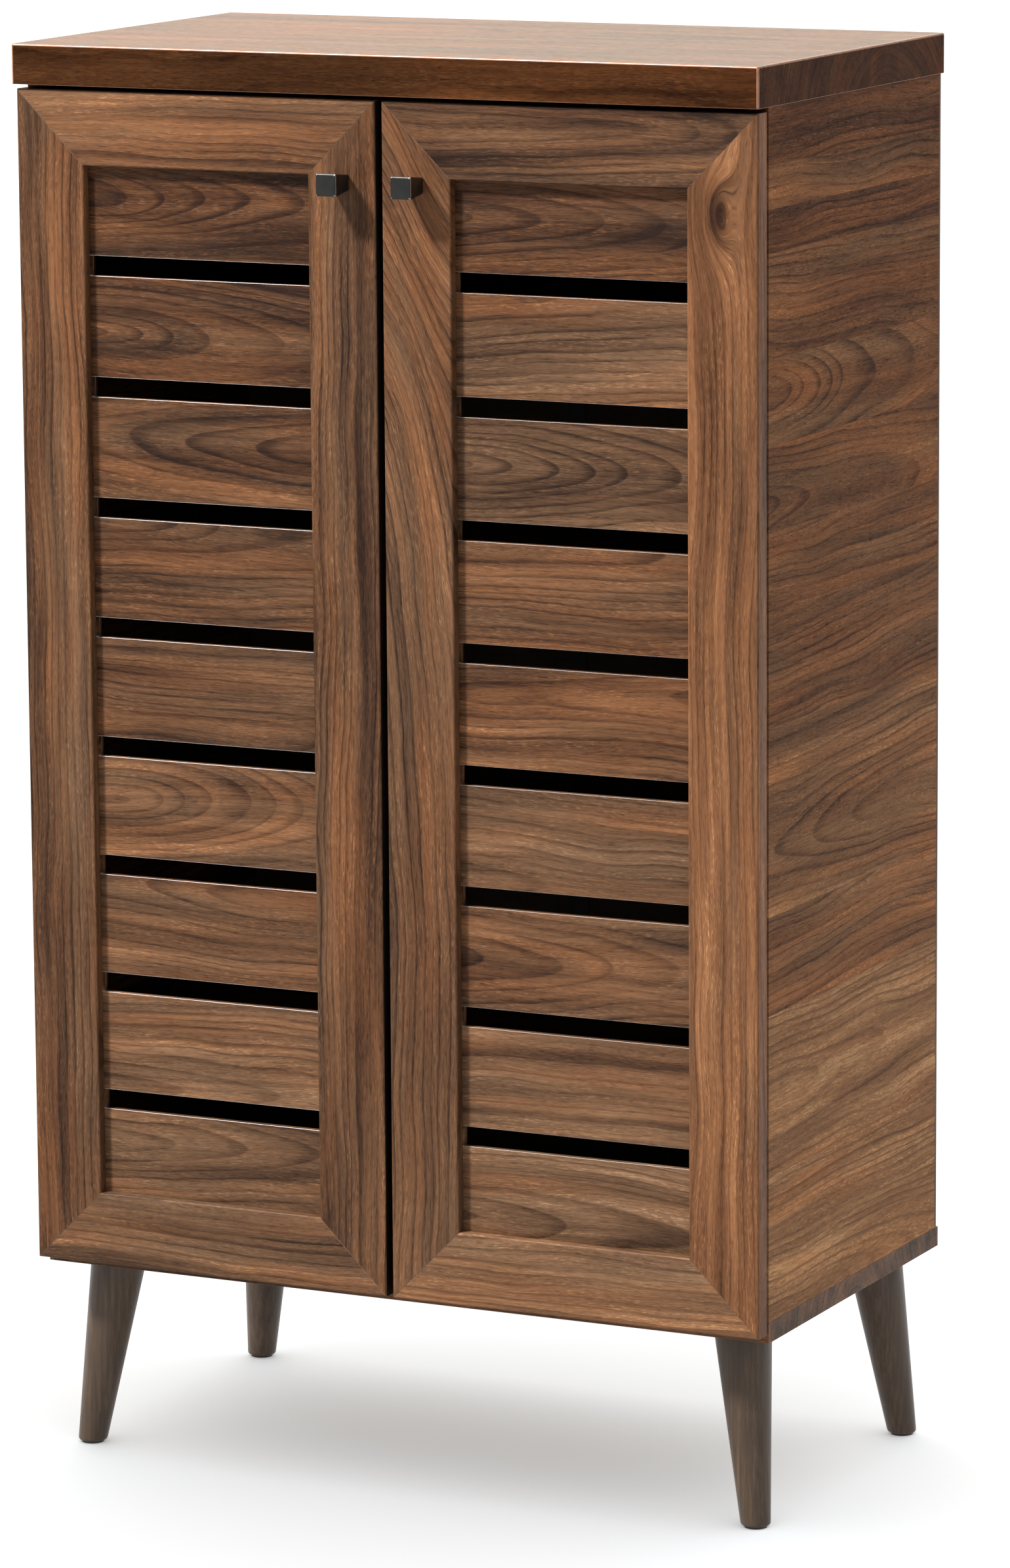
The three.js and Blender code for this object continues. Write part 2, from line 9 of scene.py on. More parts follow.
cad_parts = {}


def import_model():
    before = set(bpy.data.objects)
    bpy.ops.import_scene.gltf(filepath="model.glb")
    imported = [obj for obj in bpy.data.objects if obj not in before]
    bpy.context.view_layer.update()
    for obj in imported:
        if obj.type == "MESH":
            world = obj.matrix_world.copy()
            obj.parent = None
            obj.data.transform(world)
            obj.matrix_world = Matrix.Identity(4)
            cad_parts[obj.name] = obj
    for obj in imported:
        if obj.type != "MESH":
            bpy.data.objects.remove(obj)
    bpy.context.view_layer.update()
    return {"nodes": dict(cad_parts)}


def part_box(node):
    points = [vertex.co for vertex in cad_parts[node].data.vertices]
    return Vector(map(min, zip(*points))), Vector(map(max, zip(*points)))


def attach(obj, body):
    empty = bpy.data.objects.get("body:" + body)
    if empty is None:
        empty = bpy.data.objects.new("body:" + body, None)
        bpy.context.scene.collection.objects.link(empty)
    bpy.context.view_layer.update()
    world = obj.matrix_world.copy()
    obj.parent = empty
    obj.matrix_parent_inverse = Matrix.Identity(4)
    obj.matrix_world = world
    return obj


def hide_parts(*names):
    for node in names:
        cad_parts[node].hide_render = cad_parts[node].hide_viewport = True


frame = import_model()
nodes = frame["nodes"]

MM = 0.001


# ---------------------------------------------------------------- node trees


def srgb(red, green, blue):
    """A linear colour from 0-255 display values."""

    def linear(value):
        value /= 255
        return value / 12.92 if value <= 0.04045 else ((value + 0.055) / 1.055) ** 2.4

    return (linear(red), linear(green), linear(blue), 1)


class Tree:
    """Adds nodes to a node tree; any input may be a number, a vector or another node's socket."""

    def __init__(self, tree):
        self.tree = tree

    def node(self, kind, **settings):
        made = self.tree.nodes.new(kind)
        for name, value in settings.items():
            setattr(made, name, value)
        return made

    def feed(self, socket, value):
        if isinstance(value, bpy.types.NodeSocket):
            self.tree.links.new(value, socket)
        else:
            socket.default_value = value

    def math(self, operation, *values):
        made = self.node("ShaderNodeMath", operation=operation)
        for socket, value in zip(made.inputs, values):
            self.feed(socket, value)
        return made.outputs[0]

    def add(self, a, b):
        return self.math("ADD", a, b)

    def sub(self, a, b):
        return self.math("SUBTRACT", a, b)

    def mul(self, a, b):
        return self.math("MULTIPLY", a, b)

    def mul_add(self, a, b, c):
        return self.math("MULTIPLY_ADD", a, b, c)

    def vector(self, x, y, z):
        made = self.node("ShaderNodeCombineXYZ")
        for socket, value in zip(made.inputs, (x, y, z)):
            self.feed(socket, value)
        return made.outputs[0]

    def split(self, vector):
        made = self.node("ShaderNodeSeparateXYZ")
        self.feed(made.inputs[0], vector)
        return made.outputs

    def noise(self, vector, scale=1.0, detail=2.0, rough=0.5):
        """Noise from 0 to 1, mostly near 0.5."""
        made = self.node("ShaderNodeTexNoise")
        self.feed(made.inputs["Vector"], vector)
        self.feed(made.inputs["Scale"], scale)
        self.feed(made.inputs["Detail"], detail)
        self.feed(made.inputs["Roughness"], rough)
        return made.outputs[0]

    def span(self, value, low, high, to_low=0.0, to_high=1.0, smooth=False):
        made = self.node("ShaderNodeMapRange")
        made.interpolation_type = "SMOOTHSTEP" if smooth else "LINEAR"
        for socket, number in zip(made.inputs, (value, low, high, to_low, to_high)):
            self.feed(socket, number)
        return made.outputs[0]

    def ramp(self, value, stops):
        made = self.node("ShaderNodeValToRGB")
        self.feed(made.inputs[0], value)
        elements = made.color_ramp.elements
        while len(elements) < len(stops):
            elements.new(1)
        for element, (position, colour) in zip(elements, stops):
            element.position = position
            element.color = colour
        return made.outputs[0]

    def mix(self, factor, a, b, blend="MIX"):
        made = self.node("ShaderNodeMix", data_type="RGBA", blend_type=blend)
        self.feed(made.inputs["Factor"], factor)
        self.feed(made.inputs["A"], a)
        self.feed(made.inputs["B"], b)
        return made.outputs["Result"]

    def bump(self, height, distance):
        made = self.node("ShaderNodeBump")
        self.feed(made.inputs["Height"], height)
        self.feed(made.inputs["Distance"], distance)
        return made.outputs[0]


def shader(name, roughness, **constants):
    """A material with one Principled shader; constants are set on the shader's own sockets."""
    material = bpy.data.materials.new(name)
    material.use_nodes = True
    tree = Tree(material.node_tree)
    principled = material.node_tree.nodes["Principled BSDF"]
    principled.inputs["Roughness"].default_value = roughness
    for socket, value in constants.items():
        principled.inputs[socket.replace("_", " ")].default_value = value
    return material, tree, principled


# ---------------------------------------------------------------- walnut

WALNUT_STOPS = (
    (0.00, srgb(35, 20, 12)),
    (0.22, srgb(63, 41, 26)),
    (0.46, srgb(91, 63, 42)),
    (0.68, srgb(114, 81, 56)),
    (0.86, srgb(137, 101, 71)),
    (1.00, srgb(164, 127, 93)),
)


def walnut_group():
    """Colour, gloss and relief of sliced walnut at a place given in millimetres.

    The place is (along the grain, across the board, into the board), from the board's middle.
    Chance, from 0 to 1, picks another stretch of the tree, so that glued staves differ.
    """
    group = bpy.data.node_groups.new("walnut_figure", "ShaderNodeTree")
    face = group.interface
    face.new_socket("Place", in_out="INPUT", socket_type="NodeSocketVector")
    for name, default in (
        ("Seed", 0.0),
        ("Chance", 0.0),
        ("Tone", 0.0),
        ("Heart", 0.0),
        ("Heart Depth", 22.0),
        ("Slope", 0.04),
        ("Sway", 1.0),
        ("Ring", 6.5),
        ("Streaks", 1.0),
        ("Warmth", 0.0),
        ("Runout", 0.0),
        ("Knot", 0.0),
        ("Knot Along", 0.0),
        ("Knot Across", 0.0),
    ):
        socket = face.new_socket(name, in_out="INPUT", socket_type="NodeSocketFloat")
        socket.default_value = default
    face.new_socket("Color", in_out="OUTPUT", socket_type="NodeSocketColor")
    face.new_socket("Roughness", in_out="OUTPUT", socket_type="NodeSocketFloat")
    face.new_socket("Height", in_out="OUTPUT", socket_type="NodeSocketFloat")

    t = Tree(group)
    given = t.node("NodeGroupInput").outputs
    result = t.node("NodeGroupOutput").inputs
    along, across, depth = t.split(given["Place"])
    seed = t.mul_add(given["Chance"], 37.0, given["Seed"])

    def wander(length, width, shift, detail=2.0):
        place = t.vector(t.mul(along, 1 / length), t.mul(across, 1 / width), t.add(seed, shift))
        return t.sub(t.noise(place, 1.0, detail), 0.5)

    # Growth rings: distance from a heart line that comes slowly out of the board along the grain.
    sway = t.mul(wander(300.0, 120.0, 0.0), t.mul(given["Sway"], 34.0))
    ripple = t.mul(wander(75.0, 34.0, 5.0), t.mul(given["Sway"], 5.0))
    side = t.add(t.sub(across, given["Heart"]), t.add(sway, ripple))

    # Run-out: the grain leans more and more across the board towards its top.
    upper = t.math("MAXIMUM", along, 0.0)
    side = t.mul_add(t.mul(t.mul(upper, upper), given["Runout"]), 1 / 430.0, side)

    # A knot pushes the grain aside and is dark in its middle.
    knot_u = t.mul(t.add(t.sub(along, given["Knot Along"]), t.mul(sway, 0.6)), 1 / 34.0)
    knot_v = t.mul(t.add(t.sub(across, given["Knot Across"]), t.mul(ripple, 2.0)), 1 / 15.0)
    from_knot = t.add(t.mul(knot_u, knot_u), t.mul(knot_v, knot_v))
    knot = t.mul(t.math("EXPONENT", t.mul(from_knot, -1.0)), given["Knot"])
    side = t.mul_add(knot, 26.0, side)
    rise = t.mul(wander(210.0, 400.0, 9.0, 1.0), 26.0)
    below = t.add(t.add(given["Heart Depth"], depth), t.mul_add(given["Slope"], along, rise))
    radius = t.math("SQRT", t.add(t.mul(side, side), t.mul(below, below)))
    spread = t.noise(t.vector(t.mul(radius, 0.05), seed, 0.0), 1.0, 1.0)
    radius = t.mul_add(spread, 22.0, radius)
    ring = t.math("FRACT", t.math("DIVIDE", radius, given["Ring"]))
    late = t.mul(t.span(ring, 0.6, 0.94, smooth=True), t.span(ring, 1.0, 0.96))
    fade = t.span(wander(190.0, 26.0, 12.0), -0.16, 0.12, 0.2, 1.0)
    late = t.mul(late, fade)

    # Fibres, flecks and pores: noise drawn out along the grain at several sizes.
    def fibre(length, width, shift, detail=2.0, rough=0.5):
        place = t.vector(
            t.mul(along, 1 / length),
            t.mul(side, 1 / width),
            t.mul_add(depth, 1 / width, t.add(seed, shift)),
        )
        return t.sub(t.noise(place, 1.0, detail, rough), 0.5)

    zone = t.vector(t.mul(radius, 1 / 15.0), t.mul(along, 1 / 420.0), t.add(seed, 30.0))
    zone = t.sub(t.noise(zone, 1.0, 2.0, 0.55), 0.5)
    broad = fibre(300.0, 22.0, 1.0)
    streak = fibre(130.0, 3.4, 2.0, 3.0, 0.6)
    fine = fibre(16.0, 0.95, 3.0, 3.0, 0.65)
    fleck = t.span(fibre(5.5, 0.8, 4.0, 1.0), 0.02, 0.18)
    pore = t.span(fibre(8.0, 0.5, 6.0, 1.0), 0.06, 0.2)
    early = t.sub(1.0, t.span(ring, 0.25, 0.75))
    grouped = t.span(wander(90.0, 14.0, 15.0), -0.14, 0.14, 0.15, 1.0)
    fleck = t.mul(fleck, t.mul(t.mul_add(early, 0.5, 0.5), grouped))

    shade = t.mul_add(t.add(zone, broad), t.mul(given["Streaks"], 0.84), t.add(given["Tone"], 0.5))
    shade = t.mul_add(streak, t.mul(given["Streaks"], 0.5), shade)
    shade = t.mul_add(fine, 0.5, shade)
    shade = t.mul_add(late, -0.25, shade)
    shade = t.mul_add(fleck, 0.26, shade)
    shade = t.mul_add(pore, -0.2, shade)
    shade = t.mul_add(t.mul(knot, knot), -0.5, t.sub(shade, 0.03))
    colour = t.ramp(shade, WALNUT_STOPS)

    # Orange and grey-violet patches, as the heartwood has.
    patch = t.add(wander(240.0, 30.0, 20.0), t.mul_add(zone, 0.8, given["Warmth"]))
    warm = t.mix(t.span(patch, -0.2, 0.2), (0.91, 1.0, 1.1, 1), (1.12, 0.98, 0.86, 1))
    colour = t.mix(1.0, colour, warm, "MULTIPLY")

    rough = t.mul_add(pore, 0.16, t.mul_add(fine, -0.2, 0.44))
    height = t.mul_add(pore, -1.0, t.mul_add(fine, 0.5, t.mul(fleck, 0.2)))
    t.feed(result["Color"], colour)
    t.feed(result["Roughness"], rough)
    t.feed(result["Height"], height)
    return group


WALNUT = walnut_group()
# Painted shade: near black laid on the doors' meeting edges, standing in for the shadowed gap between them.
GAP_SHADE_COLOUR = srgb(26, 18, 14)           # the dark band on the doors' meeting edges


def stave_values(t, coordinate, low, high, staves):
    """The tone, chance, heart and slope of the stave that a coordinate in millimetres falls in.

    Each stave is (thickness, tone, heart, slope), from the top down, its heart measured from its
    middle. The four values are packed in a stepped colour ramp and unpacked again.
    """
    total = sum(stave[0] for stave in staves)
    top = 0.0
    stops = []
    for index, (thickness, tone, heart, slope) in enumerate(staves):
        middle = high - (top + thickness / 2) / total * (high - low)
        place = (middle + heart - low) / (high - low)
        chance = (index * 0.618 + 0.13) % 1
        stops.append((top / total, (tone + 0.5, chance, place, slope + 0.5)))
        top += thickness
    ramp = t.node("ShaderNodeValToRGB")
    ramp.color_ramp.interpolation = "CONSTANT"
    t.feed(ramp.inputs[0], t.span(coordinate, high, low))
    elements = ramp.color_ramp.elements
    while len(elements) < len(stops):
        elements.new(1)
    for element, (position, values) in zip(elements, stops):
        element.position = position
        element.color = values
    packed = t.node("ShaderNodeSeparateColor")
    t.feed(packed.inputs[0], ramp.outputs["Color"])
    tone, chance, place = packed.outputs
    return {
        "Tone": t.sub(tone, 0.5),
        # Painted reflection: lighter staves are made greyer and darker ones warmer, as the floor's light
        # greys the lower, lighter planks.
        "Warmth": t.mul(t.sub(tone, 0.5), -0.8),
        "Chance": chance,
        "Heart": t.mul_add(place, high - low, low),
        "Slope": t.sub(ramp.outputs["Alpha"], 0.5),
    }


def walnut(name, node, grain, tint=(1, 1, 1), staves=None, specular=0.1, banded=0, **figure):
    """Walnut for a CAD node, its grain along the first axis of `grain`, such as "xzy".

    The second axis is across the board and the third is into it. `figure` gives the group's
    inputs; `staves`, where given, splits the board across its width. The gap-shade argument, 1
    or -1, covers the board's edge at that end of the second axis with painted shade, near black
    like the shadowed gap between the doors.
    """
    low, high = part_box(node)
    middle = (low + high) / 2
    material, t, principled = shader(name, 0.45, Specular_IOR_Level=specular)
    place = t.node("ShaderNodeVectorMath", operation="MULTIPLY_ADD")
    t.feed(place.inputs[0], t.node("ShaderNodeTexCoord").outputs["Object"])
    t.feed(place.inputs[1], (1 / MM, 1 / MM, 1 / MM))
    t.feed(place.inputs[2], tuple(-value / MM for value in middle))
    axes = dict(zip("xyz", t.split(place.outputs[0])))
    wood = t.node("ShaderNodeGroup", node_tree=WALNUT)
    t.feed(wood.inputs["Place"], t.vector(*(axes[axis] for axis in grain)))
    for key, value in figure.items():
        t.feed(wood.inputs[key.replace("_", " ").title()], value)
    half = (high - low)["xyz".index(grain[1])] / MM / 2
    if staves:
        for key, value in stave_values(t, axes[grain[1]], -half, half, staves).items():
            t.feed(wood.inputs[key], value)
    colour = t.mix(1.0, wood.outputs["Color"], (*tint, 1), "MULTIPLY")
    # Painted shade on the meeting edge, as dark as the shadowed gap between the doors.
    if banded:
        on_edge = t.span(t.mul(axes[grain[1]], banded), half - 0.3, half - 0.1)
        colour = t.mix(on_edge, colour, GAP_SHADE_COLOUR)
    t.feed(principled.inputs["Base Color"], colour)
    t.feed(principled.inputs["Roughness"], wood.outputs["Roughness"])
    t.feed(principled.inputs["Normal"], t.bump(wood.outputs["Height"], 0.05 * MM))
    return material


def arris(name, colour, roughness=0.3, specular=0.5):
    """The rounded edge of a foiled board, glossier than its face; its pale colour is a painted highlight.
    """
    material, t, principled = shader(name, roughness, Specular_IOR_Level=specular)
    place = t.node("ShaderNodeTexCoord").outputs["Object"]
    highlight_patches = t.noise(place, 240.0, 3.0, 0.6)
    dull = tuple(0.62 * value for value in colour[:3]) + (1,)
    t.feed(principled.inputs["Base Color"], t.mix(t.span(highlight_patches, 0.3, 0.62), dull, colour))
    t.feed(principled.inputs["Roughness"], t.mul_add(highlight_patches, 0.2, roughness - 0.1))
    return material


# ---------------------------------------------------------------- other materials


def stained_leg():
    """Dark satin stain on turned wood, its grain running down the leg."""
    material, t, principled = shader("leg_stain", 0.4, Specular_IOR_Level=0.3)
    x, y, z = t.split(t.node("ShaderNodeTexCoord").outputs["Object"])
    place = t.vector(t.mul(x, 420.0), t.mul(y, 420.0), t.mul(z, 11.0))
    grain = t.noise(place, 1.0, 4.0, 0.6)
    pitted = t.vector(t.mul(x, 1500.0), t.mul(y, 1500.0), t.mul(z, 80.0))
    pore = t.span(t.noise(pitted, 1.0, 1.0), 0.62, 0.75)
    cloud = t.noise(t.vector(x, y, z), 18.0, 2.0)
    shade = t.add(t.mul(grain, 0.75), t.mul(cloud, 0.3))
    stops = ((0.3, srgb(50, 38, 29)), (0.55, srgb(70, 55, 42)), (0.75, srgb(92, 74, 57)))
    t.feed(principled.inputs["Base Color"], t.mix(t.mul(pore, 0.5), t.ramp(shade, stops), srgb(38, 29, 25)))
    t.feed(principled.inputs["Roughness"], t.mul_add(grain, 0.14, 0.3))
    t.feed(principled.inputs["Normal"], t.bump(t.mul_add(pore, -1.0, grain), 0.05 * MM))
    return material


def metal(name, colour, roughness, metallic=1.0):
    """Plated or blackened metal with a light brushing and faint handling marks."""
    material, t, principled = shader(name, roughness, Metallic=metallic)
    x, y, z = t.split(t.node("ShaderNodeTexCoord").outputs["Object"])
    lines = t.noise(t.vector(t.mul(x, 900.0), t.mul(y, 900.0), t.mul(z, 27.0)), 1.0, 3.0)
    marks = t.noise(t.vector(x, y, z), 140.0, 3.0)
    tone = t.span(marks, 0.3, 0.7, 0.82, 1.12)
    base = t.node("ShaderNodeVectorMath", operation="SCALE")
    t.feed(base.inputs[0], colour[:3])
    t.feed(base.inputs["Scale"], tone)
    t.feed(principled.inputs["Base Color"], base.outputs[0])
    t.feed(principled.inputs["Roughness"], t.mul_add(t.sub(lines, 0.5), 0.25, roughness))
    t.feed(principled.inputs["Normal"], t.bump(lines, 0.01 * MM))
    return material


def moulded(name, colour, roughness):
    """Moulded plastic or rubber with a fine spark-eroded grain."""
    material, t, principled = shader(name, roughness)
    place = t.node("ShaderNodeTexCoord").outputs["Object"]
    speck = t.noise(place, 2600.0, 2.0)
    cloud = t.noise(place, 60.0, 2.0)
    dark = tuple(0.8 * value for value in colour[:3]) + (1,)
    t.feed(principled.inputs["Base Color"], t.mix(cloud, dark, colour))
    t.feed(principled.inputs["Roughness"], t.mul_add(t.sub(speck, 0.5), 0.25, roughness))
    t.feed(principled.inputs["Normal"], t.bump(speck, 0.03 * MM))
    return material


def fibreboard():
    """The thin back: brown-faced fibreboard with a soft mottle."""
    material, t, principled = shader("back_board", 0.75)
    place = t.node("ShaderNodeTexCoord").outputs["Object"]
    hair = t.noise(place, 900.0, 4.0, 0.7)
    cloud = t.noise(place, 26.0, 3.0)
    shade = t.add(t.mul(hair, 0.6), t.mul(cloud, 0.4))
    stops = ((0.3, srgb(66, 48, 36)), (0.55, srgb(86, 64, 48)), (0.7, srgb(104, 80, 60)))
    t.feed(principled.inputs["Base Color"], t.ramp(shade, stops))
    t.feed(principled.inputs["Roughness"], t.mul_add(hair, 0.2, 0.65))
    t.feed(principled.inputs["Normal"], t.bump(hair, 0.06 * MM))
    return material


# ---------------------------------------------------------------- finishing the frame's nodes


def round_edges(piece, width, segments, edge_index=-1):
    """Rounds a piece's edges, the roundings taking the material at `edge_index`."""
    bevel = piece.modifiers.new("arris", "BEVEL")
    bevel.width = width * MM
    bevel.segments = segments
    bevel.limit_method = "ANGLE"
    bevel.angle_limit = radians(50)
    bevel.material = edge_index
    smooth = piece.modifiers.new("smooth", "WEIGHTED_NORMAL")
    smooth.keep_sharp = True


def finish_node(name, material, arris_width=0.0, segments=3, edge=None):
    """Gives a CAD node its material, clean faces and, with `arris_width`, rounded edges.

    The rounded edges take the material `edge` where one is given.
    """
    piece = nodes[name]
    piece.data.materials.clear()
    piece.data.materials.append(material)
    weld = piece.modifiers.new("weld", "WELD")
    weld.merge_threshold = 0.01 * MM
    for polygon in piece.data.polygons:
        polygon.use_smooth = True
    if edge:
        piece.data.materials.append(edge)
    if arris_width:
        flat = piece.modifiers.new("flat_faces", "DECIMATE")
        flat.decimate_type = "DISSOLVE"
        flat.angle_limit = radians(1)
        round_edges(piece, arris_width, segments, edge_index=1 if edge else -1)
    else:
        smooth = piece.modifiers.new("smooth", "EDGE_SPLIT")
        smooth.split_angle = radians(35)


# The side's foil is printed as narrow planks: thickness, tone, heart and slope of each. The tones run
# lighter towards the bottom, partly the planks' own and partly painted light from the floor's bounce.
SIDE_STAVES = (
    (39, -0.19, 30, 0.05),
    (31, 0.02, -40, 0.02),
    (32, -0.16, 50, 0.03),
    (75, -0.05, -50, 0.03),
    (60, 0.03, 6, 0.16),
    (63, -0.03, -20, 0.06),
    (60, -0.03, 45, 0.04),
    (82, 0.02, 70, 0.08),
    (135, 0.12, -20, -0.05),
    (73, 0.09, 60, 0.02),
    (127, 0.33, 0, 0.04),
    (102, 0.29, -50, 0.04),
)


# Painted light: the right side's foil is tinted lighter and the left darker, as the right faces away from
# the key light and the left towards it.
SIDE_PAINTED_LIGHT_TINTS = {"right": (1.2, 1.07, 0.9), "left": (0.94, 0.87, 0.78)}

# Painted light and shade: the slab's upper face is tinted twice as light as its edges, partly the foil's
# own tone and partly painted light on the top and painted shade on the edges.
SLAB_EDGE_PAINTED_SHADE_TINT = (0.4, 0.29, 0.2)
SLAB_TOP_PAINTED_LIGHT_TINT = (0.8, 0.55, 0.34)

# Widths of the rounded edges in millimetres, and the slab's lower edges as a share of its others.
SLAB_ARRIS = 1.5
BOARD_ARRIS = 1.0
FRAME_ARRIS = 0.35
SLOT_ARRIS = 1.1
UNDER_ARRIS = 0.15


def slab():
    """The top slab in its own red-brown foil, polished on its upper face and dull on its edges.

    The upper face is tinted twice as light as the edges, partly the foil's own tone and partly
    painted light on the top and painted shade on the edges; the pale rounded edges are a
    painted highlight.
    """
    figure = {
        "seed": 3.0,
        "heart": 60.0,
        "heart_depth": 60.0,
        "slope": 0.03,
        "streaks": 0.8,
        "tone": 0.04,
    }
    sides = walnut("slab_walnut", "top_slab", "xyz", SLAB_EDGE_PAINTED_SHADE_TINT, specular=0.02, **figure)
    upper = walnut("slab_polished_painted_light", "top_slab", "xyz", SLAB_TOP_PAINTED_LIGHT_TINT, specular=0.7, **figure)
    low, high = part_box("top_slab")
    bm = bmesh.new()
    bmesh.ops.create_cube(bm, size=1)
    bmesh.ops.scale(bm, vec=high - low, verts=bm.verts)
    middle = (low + high) / 2
    bmesh.ops.translate(bm, vec=middle, verts=bm.verts)
    for face in bm.faces:
        face.smooth = True
        face.material_index = int(face.normal.z > 0.5)
    weight = bm.edges.layers.float.new("bevel_weight_edge")
    for edge in bm.edges:
        under = all(vert.co.z < middle.z for vert in edge.verts)
        edge[weight] = UNDER_ARRIS if under else 1.0
    mesh = bpy.data.meshes.new("slab")
    bm.to_mesh(mesh)
    bm.free()
    # The pale slab_edge rounding is a painted highlight along the slab's edges.
    for material in (sides, upper, arris("slab_edge", srgb(140, 94, 66))):
        mesh.materials.append(material)
    piece = bpy.data.objects.new("slab", mesh)
    bpy.context.scene.collection.objects.link(piece)
    round_edges(piece, SLAB_ARRIS, 4, edge_index=2)
    piece.modifiers["arris"].limit_method = "WEIGHT"
    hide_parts("top_slab")
    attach(piece, "carcass")


def carcass():
    # Painted highlight: the side panels' and bottom board's rounded edges are made pale.
    foil_edge = arris("foil_edge", srgb(150, 118, 96))
    slab()
    for index, (side, tint) in enumerate(SIDE_PAINTED_LIGHT_TINTS.items()):
        panel = walnut(
            f"side_walnut_{side}",
            f"side_panel_{side}",
            "yzx",
            tint,
            staves=SIDE_STAVES,
            specular=0.02,
            seed=11.0 + 5 * index,
            streaks=0.75,
        )
        finish_node(f"side_panel_{side}", panel, arris_width=BOARD_ARRIS, edge=foil_edge)
    bottom = walnut("bottom_walnut", "bottom_board", "xyz", tint=(0.8, 0.8, 0.8), seed=21.0)
    finish_node("bottom_board", bottom, arris_width=BOARD_ARRIS, edge=foil_edge)
    back = fibreboard()
    for side in ("left", "right"):
        finish_node(f"back_panel_{side}", back, arris_width=0.4, segments=2)
    joiner = moulded("joiner_plastic", srgb(52, 40, 32), 0.55)
    finish_node("back_joiner", joiner, arris_width=0.2, segments=2)


def shelves():
    for index, name in enumerate(name for name in nodes if "shelf" in name):
        seed = 31.0 + index
        # Painted shade: the shelves are tinted darker, as the dark inside of the shut cabinet.
        shelf = walnut(f"{name}_walnut", name, "xyz", (0.6, 0.6, 0.6), seed=seed, heart=50.0)
        finish_node(name, shelf, arris_width=BOARD_ARRIS)


# Painted shade: the doors' walnut is tinted darker than the sides', as the key light falls on the front.
DOOR_TINT = (0.83, 0.815, 0.81)

# How each frame member of a door was cut: its tone, warmth, heart, slope and streaks.
DOOR_FRAMES = {
    "door_left_hinge_stile": (-0.07, -0.02, -60, 0.03, 1.0),
    "door_left_meeting_stile": (-0.10, 0.0, 48, 0.03, 0.9),
    "door_left_top_rail": (0.08, 0.1, -50, 0.04, 0.8),
    "door_left_bottom_rail": (0.03, -0.16, 40, 0.05, 0.9),
    "door_right_hinge_stile": (0.12, 0.22, 44, 0.03, 0.9),
    "door_right_meeting_stile": (0.025, 0.0, -60, 0.03, 0.75),
    "door_right_top_rail": (-0.155, -0.04, 12, 0.08, 1.2),
    "door_right_bottom_rail": (0.22, -0.08, -40, 0.04, 0.8),
}

# What single members have besides: painted shade on the meeting edge, a knot, or grain that runs out at the
# top.
ODDITIES = {
    "door_left_meeting_stile": {"banded": 1},
    "door_right_hinge_stile": {"knot": 1.0, "knot_along": 372, "knot_across": -6},
    "door_right_meeting_stile": {"banded": -1, "runout": 0.34, "ring": 7.5},
}

# The slats from the top down: height with half a slot, tone, heart and slope. The tones run darker at the
# top and lighter at the bottom, partly the slats' own and partly painted light and shade.
SLATS = {
    "left": (
        (71, -0.15, 10, 0.12),
        (90, -0.11, -10, 0.16),
        (90, -0.07, 5, -0.14),
        (90, -0.03, 34, 0.10),
        (90, -0.01, -30, 0.05),
        (90, 0.07, 8, 0.20),
        (90, 0.01, 30, -0.08),
        (90, 0.15, -26, 0.05),
        (71, 0.10, 12, 0.10),
    ),
    "right": (
        (71, -0.13, 4, 0.16),
        (90, 0.08, 30, 0.05),
        (90, 0.03, -6, 0.18),
        (90, 0.01, 34, 0.04),
        (90, -0.05, 20, -0.10),
        (90, 0.10, -30, 0.06),
        (90, 0.01, 6, 0.16),
        (90, 0.12, 36, 0.05),
        (71, 0.21, -20, 0.08),
    ),
}


def doors():
    # Painted highlights: the doors' rounded edges are made pale, the slots' near white.
    pale = arris("door_edge", srgb(158, 128, 108))
    slot_edge = arris("slot_edge", srgb(206, 196, 194), specular=0.8)
    for index, (name, (tone, warmth, heart, slope, streaks)) in enumerate(DOOR_FRAMES.items()):
        grain = "zxy" if "stile" in name else "xzy"
        wood = walnut(
            name,
            name,
            grain,
            DOOR_TINT,
            seed=41.0 + 3.7 * index,
            tone=tone,
            warmth=warmth,
            heart=heart,
            heart_depth=18,
            slope=slope,
            streaks=streaks,
            **ODDITIES.get(name, {}),
        )
        finish_node(name, wood, arris_width=FRAME_ARRIS, segments=2, edge=pale)
    for index, side in enumerate(("left", "right")):
        name = f"door_{side}_slotted_panel"
        wood = walnut(name, name, "xzy", DOOR_TINT, staves=SLATS[side], seed=71.0 + 9 * index)
        finish_node(name, wood, arris_width=SLOT_ARRIS, edge=slot_edge)


def fittings():
    gunmetal = metal("gunmetal", srgb(40, 40, 39), 0.38, metallic=0.75)
    # Painted highlight: the knobs' rounded edges take a pale metal.
    knob_edge = metal("knob_edge", srgb(150, 140, 128), 0.3)
    nickel = metal("nickel", srgb(196, 196, 194), 0.28)
    plastic = moulded("glide_plastic", srgb(42, 37, 34), 0.5)
    rubber = moulded("bumper_rubber", srgb(190, 186, 178), 0.45)
    leg = stained_leg()
    for name in nodes:
        if name.startswith("leg_bolt"):
            finish_node(name, nickel)
        elif name.startswith("leg_"):
            finish_node(name, leg)
        elif name.startswith("floor_glide"):
            finish_node(name, plastic)
        elif name.startswith("knob_screw"):
            finish_node(name, nickel)
        elif name.startswith("knob"):
            finish_node(name, gunmetal, arris_width=0.35, edge=knob_edge)
        elif name.startswith(("pin_", "hinge_")):
            finish_node(name, nickel)
        elif name.startswith("door_bumper"):
            finish_node(name, rubber)


# ---------------------------------------------------------------- studio

